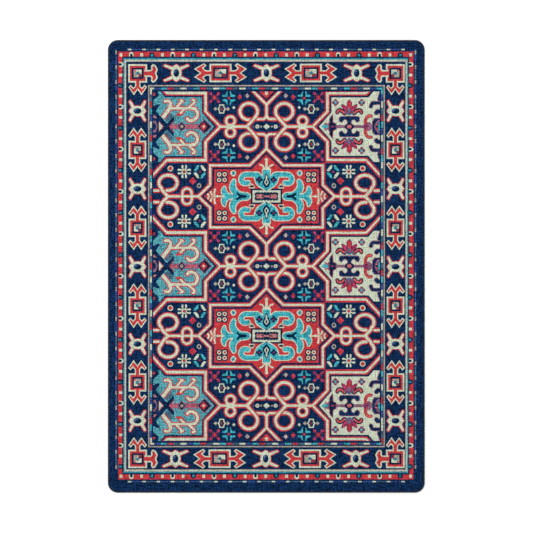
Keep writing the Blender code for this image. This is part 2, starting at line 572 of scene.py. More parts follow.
def turquoise_panel():
    """The upper half of a left panel."""
    lay("turquoise", [(-264, 0), (-326, 71), (-326, 148), (-513, 148), (-536, 178), (-549, 178), (-542, 160),
                      (-552, 148), (-562, 142), (-571, 130), (-573, 108), (-568, 103), (-559, 110),
                      (-546, 113), (-538, 112), (-541, 102), (-550, 92), (-557, 79), (-552, 71), (-541, 58),
                      (-520, 36), (-509, 20), (-501, 17),
                      (-492, 27), (-482, 39), (-468, 52), (-466, 34), (-475, 12), (-475, 0)])
    lay("slate", [(-489, 68), (-476, 66), (-470, 55), (-496, 25), (-506, 27), (-515, 38)])
    band("crimson", [(-490, 0), (-466, 31)], 6)
    curl = smooth([(-487, 98), (-483, 110), (-485, 120), (-493, 128), (-503, 130), (-512, 127)])
    spiral = smooth([(-380, 91), (-362, 90), (-351, 76), (-348, 58), (-356, 42), (-373, 31), (-390, 31),
                     (-399.5, 40)])
    twigs = [[(-455, 96), (-437, 116), (-426, 127)],
             smooth([(-394, 95), (-378, 109), (-366, 120), (-363, 129), (-367, 134), (-373, 134)]),
             [(-414, 90), (-424, 78), (-436, 66)]]
    stem = smooth([(-525, 44), (-507, 67), (-489, 92), (-484, 112)])
    edged([stem], 17, 5.5)
    lay("red", [(-452, 139), (-418, 139), (-408, 126), (-420, 118), (-434, 122)])
    lay("red", [(-437, 79), (-460, 57), (-454, 53), (-428, 54), (-410, 72)])
    disc("red", *curl[-1], 11.5)
    disc("red", *spiral[-1], 13.5)
    disc("red", *twigs[1][-1], 11)
    edged([curl, [(-492, 92.5), (-372, 92.5)]] + twigs, 11, 5.5)
    edged([spiral], 14, 5.5)
    disc("ivory", *curl[-1], 6.2)
    disc("ivory", *spiral[-1], 7)
    lay("ivory", [(-440, 135.5), (-422, 135.5), (-416, 126), (-428, 118)])
    for path, width in ((stem, 17), (curl, 12.5), ([(-495, 92.5), (-372, 92.5)], 11)):
        band("ivory", path, width)
    for twig in twigs:
        band("ivory", twig, 10.5)
    disc("ivory", *twigs[1][-1], 5)


def turquoise_panel_middle():
    lay("mauve", [(-470, 14), (-340, 14), (-340, -14), (-470, -14)])
    lay("rosered", [(-490, 0), (-477, 11), (-462, 8), (-340, 8), (-340, -8), (-462, -8), (-477, -11)])
    diamond("mauve", -428, 0, 25, 28)
    diamond("ink", -428, 0, 18.5, 21.5)
    blob("sand", [(-428, 9), (-419, 0), (-428, -9), (-437, 0)])
    diamond("salmon", -430, 1, 5, 6)
    diamond("mauve", -313, 0, 39, 40)
    diamond("ink", -313, 0, 33, 34)
    diamond("red", -317, 0, 18, 22)
    diamond("ivory", -317, 0, 7, 8)
    lay("salmon", [(-543, 28), (-518, 0), (-543, -28)])
    lay("ivory", [(-542, 21), (-525, 0), (-542, -21)])
    for side in (-1, 1):
        disc("red", -568, 163 * side, 6, 1.3)
        lay("salmon", [(-572, 56 * side), (-564, 57 * side), (-553, 44 * side), (-563, 42 * side),
                       (-571, 46 * side)])
        blob("mauve", [(-572, 28 * side), (-560, 28 * side), (-555, 18 * side), (-550, 0), (-556, 0),
                       (-560, 12 * side), (-570, 18 * side)])


def ivory_panel():
    """The upper half of a right panel."""
    lay("mauve", [(541, 178), (578, 178), (568, 160), (562, 140), (562, 128), (540, 128)])
    lay("ivory", [(265, 0), (328, 72), (328, 147), (514, 147), (541, 178), (571, 178), (563, 158), (557, 140),
                  (560, 130), (571, 130), (571, 0)])
    lay("mauve", [(292, 0), (296, 17), (306, 13), (314, 22), (352, 9), (362, 7.5), (540, 7.5), (540, 0)])
    lay("salmon", [(291, 16), (298, 22), (308, 15), (302, 10)])
    column = [(318, 0), (318, 18), (322, 24), (319, 36), (325, 46), (332, 57), (333, 38), (333, 24),
              (338, 17), (349, 14), (349, 0)]
    lay("plum", [(314, -1), (314, 20), (318, 26), (315, 36), (322, 49), (334, 63), (337, 40), (337, 27),
                 (341, 20), (353, 17), (353, -1)])
    lay("ink", column)
    diamond("cyan", 291, 0, 14, 13)
    disc("cyan", 305, 0, 8)
    disc("plum", 333, 0, 8, 0.6)
    place(tulip_half, 418, 0)
    for x in (348, 480):
        four_petals("plum", x, 121, 8.5)
        disc("cyan", x, 121, 6.5, 1.3)
    # The hooks that cut into the panel from the right.
    for points, width in ((smooth([(600, 119), (546, 119), (532, 115), (527, 102)]), 14),
                          (smooth([(600, 76), (572, 77), (560, 77), (555, 70)]), 17)):
        hook("mauve", points, width + 7, width / 2 + 4.5)
        hook("navy", points, width, width / 2 + 1)
    lay("ivory", [(546, 108), (574, 108), (574, 93), (548, 91)])
    lay("mauve", [(543, 44), (574, 44), (574, 0), (531, 0), (532, 27)])
    lay("navy", [(547, 40), (600, 40), (600, 0), (534.5, 0), (536, 25)])
    # A red hook over the mauve bar.
    curl = smooth([(501, 14), (499, 30), (506, 46), (517, 54), (528, 53)])
    lay("mauve", [(504, 0), (508, 22), (520, 24), (531, 12), (531, 0)])
    lay("plum", [(486, 0), (492, 14), (510, 14), (514, 0)])
    hook("crimson", curl, 17, 8.5)
    hook("red", curl, 12, 6)
    hook("coral", curl[6:], 8.5, 4.5)
    # The small eye at the field's edge.
    lay("mauve", smooth([(563, 34), (553, 22), (546, 8), (546, 0), (550, 0), (557, 14), (572, 28),
                         (570, 34)]))
    lay("cyan", [(564, 0), (566, 20), (574, 22), (574, 0)])
    lay("coral", [(553, 6), (560, 17), (564, 16), (560, 5)])


def tulip_half():
    """The upper half of the flower that grows up from a right panel's mauve bar, about its own middle."""
    cup = smooth([(0, 138), (13, 124), (15, 104), (26, 110), (38, 114), (41, 107), (34, 90), (20, 72),
                  (0, 62)])
    lay("plum", whole(cup, across=True))
    blob("rose", [(0, 134), (10, 120), (11, 98), (0, 82), (-11, 98), (-10, 120)])
    blob("red", [(0, 126), (6, 116), (6, 100), (0, 90), (-6, 100), (-6, 116)])
    for side in (-1, 1):
        ear = smooth([(22, 103), (33, 109), (37, 104), (28, 88), (16, 76), (14, 86)], True)
        lay("rose", [(side * x, y) for x, y in ear])
        lay("crimson", [(side * x, y) for x, y in ((7, 104), (10, 112), (14, 96), (10, 84))])
        wing = [(side * x, y) for x, y in smooth([(22, 64), (35, 77), (48, 83), (57, 79), (61, 70)])]
        hook("ink", wing, 22, 10)
        disc("ink", *wing[0], 8)
        hook("coral", wing, 9, 4.5)
        disc("ivory", 45 * side, 60, 8, 0.9)
    for side in (-1, 1):
        band("turqline", smooth([(0, 59), (12 * side, 66), (22 * side, 76)]), 6.5)
    disc("mauve", -1, 82, 8.5, 1.5)
    disc("slate", -1, 80, 5, 1.6)
    band("mauve", [(-41, 53), (41, 53)], 2.5)
    half = [(0, 50), (46, 50), (50, 42), (50, 30), (44, 24), (37, 24), (31, 32), (22, 38), (12, 33), (8, 24),
            (8, 14), (0, 8)]
    foot = half + flipped(half, across=True)[::-1]
    lay("mauve", grown([(x, min(y, 49)) for x, y in foot], 3.5))
    eye = smooth([(25, 0), (13, 12), (0, 16.5), (-13, 12), (-25, 0), (-13, -12), (0, -16.5), (13, -12)], True)
    lay("mauve", [(1.15 * x, 1.2 * y) for x, y in eye if y > -4])
    lay("navy", foot)
    lay("ink", eye)
    disc("salmon", 0, 0, 11.5, 0.82)
    disc("coral", 0, 0, 8, 0.75)


def panel_row():
    """The centre figure with a side panel on each side of it."""
    centre_figure()
    eye_beads()
    place_four_ways(centre_fillers, 0, 0)
    for across, thick in ((False, 13.5), (True, 10)):
        place(lambda: panel_frame(thick), 0, 0, across)
    for up in (False, True):
        place(turquoise_panel, 0, 0, up=up)
        place(ivory_panel, 0, 0, up=up)
    turquoise_panel_middle()


def medallion_row():
    """A medallion with the loops and small figures on each side of it."""
    place_both_ways(side_loops, 0, 0)
    medallion()
    place_four_ways(side_fillers, 0, 0)


def field():
    for row in (-1, 0, 1):
        place(panel_row, 0, row * ROW)
    for row in (-1.5, -0.5, 0.5, 1.5):
        place(medallion_row, 0, row * ROW)


# ---- the border

FIELD_HALF = (571.5, 881.0)
DASH_GAP = 1  # the ground that shows at each end of a dash


def stepped_square(across, up):
    """An ivory-edged square with a chequered middle, without its arrows."""
    box("ivory", -across, -up, across, up)
    box("red", 8 - across, 8 - up, across - 8, up - 8)
    box("ink", 17.5 - across, 18 - up, across - 17.5, up - 18)
    reach, rise = across - 27.5, up - 27
    box("ivory", -reach, -rise, reach, rise)
    lay("sand", [(-reach, -rise), (0, -rise), (-5, 4), (-reach, 8)])
    lay("crimson", [(3, -rise), (reach, -rise), (reach, -4), (4, 0)])
    lay("salmon", [(-reach, 10), (-8, 6), (-6, rise), (-reach, rise)])
    diamond("teal", 0, 1, 12, 10)


def arrow_of(upper, reach, fill, stem):
    """An ivory-edged red arrow from its upper outline, with a stem that runs back into the square."""
    outline = upper + flipped(upper, up=True)[-2::-1]
    lay("ivory", grown(outline, reach))
    lay("red", grown(outline, -fill))
    box("red", stem[0], -stem[2], stem[1], stem[2])


def arrow(start, inner, tip, spread, dip):
    """An arrow to the right, from its start on a square's side to its tips. Its two swept-back barbs leave
    the stem at inner and reach as far out as spread, and dip is the notch between the tips."""
    upper = [(start - 6, 10), (start + 20, 10), (inner, 0.53 * spread), (inner - 15, spread - 7),
             (inner - 7, spread), (tip, 0.45 * spread), (tip - dip, 0)]
    arrow_of(upper, 3.4, 2, (start - 12, start + 10, 8))


def hooked_arrow():
    """The short arrow that a corner square points along the rug's end."""
    upper = [(38, 13.5), (66, 13.5), (72, 20), (71, 36), (77, 43), (87, 39), (98, 20), (90, 0)]
    arrow_of(upper, 3.7, 3.4, (32, 62, 10))


def cross_with_eye(reach=61):
    """An ivory cross with a red edge round a dark eye. Reach is how far its arms go along the border."""
    arm = [(11, 28), (22, 15), (reach + 4, 35), (reach + 1, 41), (reach - 5, 43)]
    quarter = [(26, 0), (24, 14), (17, 25), (14, 34), (7, 39), (0, 43)]
    body = whole(quarter + flipped(quarter, across=True)[-2::-1], up=True)
    lay("red", grown(body, 3.5))
    for shape in four_ways(arm):
        lay("red", grown(shape, 4))
    lay("ivory", body)
    for shape in four_ways(arm):
        lay("ivory", grown(shape, -0.5))
    disc("navy", 0, 0, 14.5, 1.4)
    disc("ink", 1, -1, 12.5, 1.45)
    blob("blue", [(-11, 2), (-8, 14), (0, 18), (4, 11), (-3, 3), (-7, -7)])
    blob("slate", [(-9, 6), (-5, 15), (1, 15), (-2, 8)])


def side_cross_with_eye():
    cross_with_eye(50)


def arrows_square():
    stepped_square(55.5, 46.5)
    place_both_ways(lambda: arrow(55.5, 91, 127, 45.5, 28), 0, 0)


def side_arrows_square():
    stepped_square(46, 44.5)
    place_both_ways(lambda: arrow(46, 80, 107, 42.5, 27), 0, 0)


def corner_square():
    """The square in the left upper corner, with arrows to the right and down."""
    stepped_square(47.5, 46.5)
    hooked_arrow()
    place(lambda: arrow(46.5, 77, 104, 42.5, 27), 0, 0, up=True, turned=True)


def main_border():
    """Crosses and squares in turn all round. The ends' and sides' lower figures are printed a little off."""
    for y, slip in ((974.5, 0), (-971.5, -4.5)):
        for x, motif in ((-455, cross_with_eye), (-232, arrows_square), (0, cross_with_eye),
                         (224, arrows_square), (455, cross_with_eye)):
            place(motif, x + slip, y)
    for side in (-1, 1):
        for step in range(-4, 5):
            motif = side_arrows_square if step % 2 else side_cross_with_eye
            place(motif, side * 651, step * 196.5 - 3 + 3 * max(0, -1 - step), across=True, up=True,
                  turned=True)
        for up in (False, True):
            place(corner_square, side * 650, -972.5 if up else 972.5, side > 0, up)


def stripes(dye, across, up, width, side_width=None):
    """Four stripes round a rectangle, whose middle line is across and up from its middle."""
    half, side_half = width / 2, (side_width or width) / 2
    for side in (-1, 1):
        box(dye, -across - side_half, side * up - half, across + side_half, side * up + half)
        box(dye, side * across - side_half, -up - half, side * across + side_half, up + half)


def field_edge():
    """The ground beyond the field, the fine stripe round it and the dashes beside that."""
    margin = 30
    stripes("navy", FIELD_HALF[0] + margin / 2, FIELD_HALF[1] + margin / 2, margin)
    stripes("sand", 594, 910.5, 6.5)
    ends = ["ivory", "blue", "cyan", "red", "slate"]
    sides = ["ivory", "slate", "red", "cyan", "blue"]
    along_end = ((ends * 2 + ends[:1] + ends[2:]) * 2 + ends * 2)[:36]
    along_side = ((sides * 2 + sides[:4]) * 4)[:53]
    end_pitch, side_pitch = 33, 1800 / len(along_side)
    for side in (-1, 1):
        for step, dye in enumerate(along_end):
            left = -600 + end_pitch * step
            box(dye, max(left, -588) + DASH_GAP, side * 896 - 4.2, left + end_pitch - DASH_GAP,
                side * 896 + 4.2)
        for step, dye in enumerate(along_side if side < 0 else along_side[3:] + along_side[:3]):
            high = 900 - side_pitch * step
            box(dye, side * 583 - 4.5, high - side_pitch + DASH_GAP, side * 583 + 4.5, high - DASH_GAP)


def guards():
    """The teal and sand lines, the red guard with its beads, and the dashes outside it."""
    stripes("navy", 760, 1095, 60)
    stripes("sand", 708.8, 1033.6, 11, 9)
    stripes("ivory", 708.8, 1034.5, 3.5)
    stripes("turqline", 715.8, 1043.8, 8, 6)
    stripes("cyan", 714.6, 1041, 3.4, 3.4)
    stripes("ink", 721.4, 1050.5, 6, 6)
    stripes("red", 734.5, 1066.5, 25, 21)
    beads = (bead_square, bead_teal, bead_square, bead_arch)
    for side in (-1, 1):
        for step in range(-14, 15):
            place(beads[step % 4], step * 52.2, side * 1064, up=side < 0)
        for step in range(-19, 20):
            place(beads[step % 4], side * 731, step * 53.4, up=side > 0, turned=True)
        for step in range(-9, 11):
            left, middle = step * 72.6 - 43, side * 1090
            box("ivory", left, middle - 3.2, left + 18, middle + 3.2)
            if step < 10:
                box(("slate", "blue")[step % 2], left + 21, middle - 2.2, left + 70, middle + 2.2)
        for step in range(-14, 15):
            high, middle = step * 74.7 + 40, side * 755
            box("sand", middle - 3.6, high - 20, middle + 3.6, high)
            if step < 14:
                box(("slate", "blue")[step % 2], middle - 3, high + 3, middle + 3, high + 51)


def bead_square():
    lay("ivory", [(-7, -9), (7, -9), (6.5, 7), (-6.5, 7)])


def bead_arch():
    lay("ivory", arc((0, 2), 11.5, 0, 180) + [(-11.5, -9), (11.5, -9)])
    lay("ink", arc((0, -1), 6.3, 0, 180) + [(-6.3, -12), (6.3, -12)])


def bead_teal():
    lay("ink", arc((0, -5), 14, 0, 180, 1.2) + [(-14, -12), (14, -12)])
    disc("teal", 0, -3, 6.5, 1.3)


def field_and_border():
    """All that is printed inside the guards. The border's ground hides what runs past the field's edge."""
    field()
    ground = 300
    stripes("navy", FIELD_HALF[0] + ground / 2, FIELD_HALF[1] + ground / 2, ground)
    main_border()
    field_edge()


place(field_and_border, *FIELD_MIDDLE)
place(guards, *GUARD_MIDDLE)

# ---- The drawing is cut along the edges where the dye changes, and each dye's tufts are raised from it.

PILE_MARGIN = 9.3  # from the rug's edge to where the pile stands free of the serging
TIP_ROUND = 1.6  # the tufts at the free edge lean out over this
CRUSHED_TOP = 6.3  # the height of the tufts that the serging holds down
GRIPPED_MARGIN = 1.5


def rug_outline(inset, corner_radius=50.0, steps=12):
    """The rug's rounded rectangle in millimetres, pulled in by inset."""
    across = rug_high.x / MM - corner_radius
    along = rug_high.y / MM - corner_radius
    outline = []
    for turn, (x, y) in enumerate(((across, along), (-across, along), (-across, -along), (across, -along))):
        for step in range(steps + 1):
            angle = math.pi / 2 * (turn + step / steps)
            outline.append((x + (corner_radius - inset) * math.cos(angle),
                            y + (corner_radius - inset) * math.sin(angle)))
    return outline


def dyes_at(points, window):
    """The dye at each point: that of the last shape laid over it, or none outside the window."""
    order = np.argsort(points[:, 1])
    x, y = points[order, 0], points[order, 1]
    found = np.full(len(points), -1)
    for number, (dye, outline) in enumerate([("navy", window)] + drawing):
        corners = np.array(outline)
        first, last = np.searchsorted(y, (corners[:, 1].min(), corners[:, 1].max()))
        near = np.arange(first, last)
        near = near[(x[near] > corners[:, 0].min()) & (x[near] < corners[:, 0].max())]
        if number:
            near = near[found[near] >= 0]
        if not len(near):
            continue
        turns = np.zeros(len(near), int)
        for (ax, ay), (bx, by) in zip(corners, np.roll(corners, -1, 0)):
            side = (bx - ax) * (y[near] - ay) - (x[near] - ax) * (by - ay)
            turns += (ay <= y[near]) & (by > y[near]) & (side > 0)
            turns -= (ay > y[near]) & (by <= y[near]) & (side < 0)
        found[near[turns != 0]] = dye_names.index(dye)
    dyes = np.empty(len(points), int)
    dyes[order] = found
    return dyes


def cut(corners, edges, window):
    """Triangles between the given edges, and the dye of each."""
    made = delaunay_2d_cdt([Vector(corner) for corner in corners], edges, [], 0, 0.01, False)
    flat = np.array([corner[:] for corner in made[0]])
    triangles = np.array(made[2])
    return flat, triangles, dyes_at(flat[triangles].mean(1), window)


def dye_edges(triangles, dyes):
    """The edges that have a different dye on each side."""
    sides = np.sort(np.concatenate([triangles[:, [0, 1]], triangles[:, [1, 2]], triangles[:, [2, 0]]]), 1)
    dye_of_side = np.tile(dyes, 3)
    edges, place = np.unique(sides, axis=0, return_inverse=True)
    place = place.ravel()
    low, high = np.full(len(edges), 99), np.full(len(edges), -2)
    np.minimum.at(low, place, dye_of_side)
    np.maximum.at(high, place, dye_of_side)
    outside = np.bincount(place) == 1
    return edges[(low != high) | (outside & (high >= 0))]


dye_names = list(dict.fromkeys(["navy"] + [dye for dye, outline in drawing]))
window = rug_outline(PILE_MARGIN + TIP_ROUND)
corners, edges = [], []
for outline in [window] + [outline for dye, outline in drawing]:
    start = len(corners)
    corners += outline
    edges += [(start + step, start + (step + 1) % len(outline)) for step in range(len(outline))]
flat, triangles, dyes = cut(corners, edges, window)
kept = dye_edges(triangles, dyes)
used, kept = np.unique(kept, return_inverse=True)
flat, triangles, dyes = cut([tuple(corner) for corner in flat[used]], kept.reshape(-1, 2).tolist(), window)

pile_low, pile_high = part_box("pile")


def raised(patch):
    """The vertices and faces of tufts that stand on some triangles of the drawing."""
    used, faces = np.unique(patch, return_inverse=True)
    faces = faces.reshape(-1, 3)
    count = len(used)
    top = np.column_stack([flat[used] * MM, np.full(count, pile_high.z)])
    bottom = np.column_stack([flat[used] * MM, np.full(count, pile_low.z)])
    sides = np.concatenate([faces[:, [0, 1]], faces[:, [1, 2]], faces[:, [2, 0]]])
    keys = np.sort(sides, 1)
    unique, place, uses = np.unique(keys, axis=0, return_inverse=True, return_counts=True)
    rim = sides[uses[place.ravel()] == 1]
    walls = np.column_stack([rim[:, 0], rim[:, 0] + count, rim[:, 1] + count, rim[:, 1]])
    under = faces[:, ::-1] + count
    return np.concatenate([top, bottom]).tolist(), faces.tolist() + under.tolist() + walls.tolist()


def swept_rim(section):
    """A closed ring round the rug, from a section of (inset, height) in millimetres."""
    loops = [rug_outline(inset) for inset, height in section]
    steps, count = len(loops[0]), len(section)
    points = [(x * MM, y * MM, height * MM) for loop, (inset, height) in zip(loops, section) for x, y in loop]
    faces = []
    for place in range(count):
        near, far = place * steps, (place + 1) % count * steps
        for step in range(steps):
            after = (step + 1) % steps
            faces.append([near + step, near + after, far + after, far + step])
    return points, faces


def free_edge():
    """The section of the pile's edge: rounded tips, then the tufts crushed under the serging."""
    bottom, top = pile_low.z / MM, pile_high.z / MM
    section = [(GRIPPED_MARGIN, bottom), (GRIPPED_MARGIN, CRUSHED_TOP), (PILE_MARGIN, CRUSHED_TOP)]
    for degrees in (0, 22.5, 45, 67.5, 90):
        angle = math.radians(degrees)
        section.append((PILE_MARGIN + TIP_ROUND * (1 - math.cos(angle)),
                        top - TIP_ROUND * (1 - math.sin(angle))))
    return section + [(PILE_MARGIN + TIP_ROUND, bottom)]


def closed_piece(name, points, faces, material):
    """A closed mesh with rounded edges shaded smooth."""
    mesh = bpy.data.meshes.new(name)
    mesh.from_pydata(points, [], faces)
    mesh.shade_smooth()
    mesh.set_sharp_from_angle(angle=math.radians(35))
    mesh.materials.append(material)
    piece = bpy.data.objects.new(name, mesh)
    bpy.context.scene.collection.objects.link(piece)
    return piece


TUFT = 3.0 * MM  # from one tuft's tip to the next
FIBRE = 1.1 * MM  # coarser than real fibres, so that they show
SLUBS = ((55 * MM, 5 * MM), (5 * MM, 65 * MM))  # uneven streaks of dye, across and along the rug
MOTTLE = 7 * MM  # the dye's blotches, drawn coarse enough to show from above
FLECK = 9 * MM
# Painted shade: a near-black mixed into each dye's colour in the gaps between the tufts' tips.
PAINTED_SHADE_BETWEEN_TUFTS = "#02060c"


def dyed_pile(name, deep, body, bright, fleck, fleck_share):
    """Cut nylon pile in one dye. The eye gets sheared tuft tips with painted shade between them, slubs of
    uneven dye both ways as in linen, and a dusty matt face with no shine."""
    material, tree, shader, place = cloth_material(name, 0.97, 0.03)
    shader.inputs["Specular IOR Level"].default_value = 0.05
    streaks = []
    for length, width in SLUBS:
        scale = (1 / length, 1 / width, 1.0)
        stretch = add_node(tree, "ShaderNodeMapping", {"Vector": place, "Scale": scale})
        streaks.append(add_node(tree, "ShaderNodeTexNoise", {"Vector": stretch.outputs[0], "Scale": 1.0,
                                                             "Detail": 2.0,
                                "Roughness": 0.6}, noise_dimensions="2D").outputs["Fac"])
    grain = add_node(tree, "ShaderNodeTexNoise", {"Vector": place, "Scale": 1 / MOTTLE, "Detail": 3.0,
                     "Roughness": 0.7}, noise_dimensions="2D").outputs["Fac"]
    tufts = add_node(tree, "ShaderNodeTexVoronoi", {"Vector": place, "Scale": 1 / TUFT, "Randomness": 0.85},
                     voronoi_dimensions="2D").outputs["Distance"]
    both = add_node(tree, "ShaderNodeMix", {0: 0.5, 2: streaks[0], 3: streaks[1]}).outputs[0]
    dye = add_node(tree, "ShaderNodeMix", {0: 0.5, 2: both, 3: grain}).outputs[0]
    colour = colour_steps(tree, dye, ((0.46, deep), (0.498, body), (0.54, bright)))
    if fleck_share:
        tint = add_node(tree, "ShaderNodeTexNoise", {"Vector": place, "Scale": 1 / FLECK, "Detail": 1.0},
                        noise_dimensions="2D").outputs["Fac"]
        share = add_node(tree, "ShaderNodeMapRange", {"Value": tint, "From Min": 0.45, "From Max": 0.65,
                         "To Min": 0.0, "To Max": fleck_share}).outputs[0]
        colour = add_node(tree, "ShaderNodeMix", {0: share, 6: colour, 7: linear(fleck)},
                          data_type="RGBA").outputs[2]
    # Painted shade: the colour darkens towards the near-black away from each tuft's middle, standing in for
    # the shade between tufts.
    root = add_node(tree, "ShaderNodeMapRange", {"Value": tufts, "From Min": 0.3, "From Max": 0.8,
                    "To Min": 0.0, "To Max": 0.35}).outputs[0]
    colour = add_node(tree, "ShaderNodeMix", {0: root, 6: colour, 7: linear(PAINTED_SHADE_BETWEEN_TUFTS)},
                      data_type="RGBA").outputs[2]
    fibres = add_node(tree, "ShaderNodeTexNoise", {"Vector": place, "Scale": 1 / FIBRE, "Detail": 2.0},
                      noise_dimensions="2D").outputs["Fac"]
    nap = add_node(tree, "ShaderNodeMath", {0: fibres, 1: tufts}, operation="SUBTRACT").outputs[0]
    bump = add_node(tree, "ShaderNodeBump", {"Height": nap, "Distance": 0.9 * MM, "Strength": 0.8})
    tree.links.new(colour, shader.inputs["Base Color"])
    tree.links.new(bump.outputs["Normal"], shader.inputs["Normal"])
    return material


# Each dye's deep, middle and bright shades, its fleck and how much of it, and the finish that it belongs to.
DYES = {
    "navy": (("#010917", "#021a37", "#173a68", "#123a74", 0.25), "pile_navy"),
    "ink": (("#010f22", "#031c38", "#123156", "#0a1f44", 0.0), "pile_navy"),
    "red": (("#992a2b", "#b83436", "#dc4043", "#b0506a", 0.2), "pile_red"),
    "crimson": (("#5e2531", "#803444", "#a3475a", "#4c1638", 0.3), "pile_crimson"),
    "ivory": (("#a6b29e", "#beccb5", "#d6e5cc", "#e0c6b4", 0.35), "pile_ivory"),
    "sand": (("#7f7a70", "#9a9488", "#b9b2a4", "#a58f92", 0.35), "pile_sand"),
    "turquoise": (("#396e74", "#50959d", "#68bfc8", "#3e7fa0", 0.35), "pile_turquoise"),
    "cyan": (("#217a84", "#3aa3ab", "#55ccd4", "#3e88b0", 0.35), "pile_turquoise"),
    "turqline": (("#1c5366", "#29718a", "#3992b0", "#2f5f8c", 0.3), "pile_teal"),
    "teal": (("#1e555f", "#2c7482", "#3d94a6", "#1c6a86", 0.3), "pile_teal"),
    "slate": (("#304755", "#446274", "#5a7f95", "#3f5a78", 0.3), "pile_teal"),
    "blue": (("#223361", "#324884", "#445fa8", "#3a3d8c", 0.3), "pile_blue"),
    "mauve": (("#5f4052", "#825970", "#a67490", "#7a4f70", 0.3), "pile_mauve"),
    "plum": (("#5f243e", "#813455", "#a5476f", "#402050", 0.3), "pile_mauve"),
    "salmon": (("#7d4c4e", "#a8696b", "#d6878a", "#b0707c", 0.3), "pile_salmon"),
    "coral": (("#8e3937", "#bf4f4d", "#f26765", "#c05060", 0.3), "pile_salmon"),
    "rose": (("#7a243d", "#a53454", "#d2476e", "#8c2c60", 0.3), "pile_crimson"),
    "rosered": (("#7d3e48", "#a95663", "#d67080", "#a04060", 0.3), "pile_red"),
}

for number, dye in enumerate(dye_names):
    points, faces = raised(triangles[dyes == number])
    if dye == "navy":
        rim_points, rim_faces = swept_rim(free_edge())
        faces += [[corner + len(points) for corner in face] for face in rim_faces]
        points += rim_points
    shades, slot = DYES[dye]
    piece = closed_piece("pile_" + dye, points, faces, dyed_pile("dyed_nylon_pile_" + dye, *shades))
    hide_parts("pile")
    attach(piece, "root")

# ---------------------------------------------------------------------------------------------
# Latex. A thin cured coat that locks the tufts' backs and glues the two backings together.
# It is brushed on wet and cured in an oven, so it has no weave of its own.
# ---------------------------------------------------------------------------------------------

latex_material, tree, shader, place = cloth_material("cured_latex_coat", 0.6, 0.0)
curdle = add_node(tree, "ShaderNodeTexNoise", {"Vector": place, "Scale": 1 / (6 * MM),
                                               "Detail": 4.0}).outputs["Fac"]
tree.links.new(colour_steps(tree, curdle, ((0.35, "#a79b80"), (0.65, "#cfc5ab"))),
               shader.inputs["Base Color"])
skin = add_node(tree, "ShaderNodeBump", {"Height": curdle, "Distance": 0.2 * MM, "Strength": 0.5})
tree.links.new(skin.outputs["Normal"], shader.inputs["Normal"])
latex = dress("latex_layer", latex_material)

# ---------------------------------------------------------------------------------------------
# Secondary backing. The open woven cloth on the underside, of flat jute-coloured tape,
# pressed into the wet latex. It is what the rug lies on.
# ---------------------------------------------------------------------------------------------

backing_material = woven_tape("open_woven_backing_tape", 2.4 * MM, "#7d6a4a", "#c2ad86", 0.4 * MM)
backing = dress("secondary_backing", backing_material)

# ---------------------------------------------------------------------------------------------
# Serging. One near-black nylon yarn whipped round all the layers' edges, wrap beside wrap.
# A plain bed of the same yarn shows in the gaps at the corners, where the wraps fan out.
# ---------------------------------------------------------------------------------------------

WRAP_PITCH = 3.0  # from one wrap to the next along the edge
WRAP_WIDTH = 3.3  # so that neighbours press into each other
SERGING_REACH = 9.0  # how far it comes in over the pile and the backing
WRAP_GIRTH = 5  # points round the yarn
UNEVENNESS = 0.12
WRAP_SEED = 7


def wrap_path():
    """The yarn's middle in the section of the edge, as (inset, height), from the face to the underside."""
    return [(SERGING_REACH, 7.05), (6.4, 7.5), (3.3, 7.25), (1.25, 6.0), (0.45, 3.9), (1.25, 1.9),
            (3.3, 0.75), (SERGING_REACH, 0.75)]


def wrap_mesh():
    """One wrap as a closed, flattened yarn. It stands at the origin with the rug's outside towards +X and the
    rug's edge along Y."""
    path, girth = wrap_path(), WRAP_GIRTH
    points, faces = [], []
    for place, (inset, height) in enumerate(path):
        before = path[max(place - 1, 0)]
        after = path[min(place + 1, len(path) - 1)]
        run, rise = before[0] - after[0], before[1] - after[1]
        length = math.hypot(run, rise)
        out_x, out_z = -rise / length, run / length
        slant = 1.5 * (place / (len(path) - 1) - 0.5)
        end = 0.55 if place in (0, len(path) - 1) else 1.0
        for turn in range(girth):
            angle = math.radians(90 + 360 * turn / girth)
            aside = WRAP_WIDTH / 2 * end * math.cos(angle)
            proud = (0.62 if math.sin(angle) > 0 else 0.5) * end * math.sin(angle)
            points.append(((-inset + out_x * proud) * MM, (aside + slant) * MM,
                           (height + out_z * proud) * MM))
    for place in range(len(path) - 1):
        for turn in range(girth):
            near, far = place * girth + turn, place * girth + (turn + 1) % girth
            faces.append([near, near + girth, far + girth, far])
    faces.append(list(range(girth)))
    faces.append(list(range(len(points) - girth, len(points)))[::-1])
    mesh = bpy.data.meshes.new("yarn_wrap")
    mesh.from_pydata(points, [], faces)
    return mesh


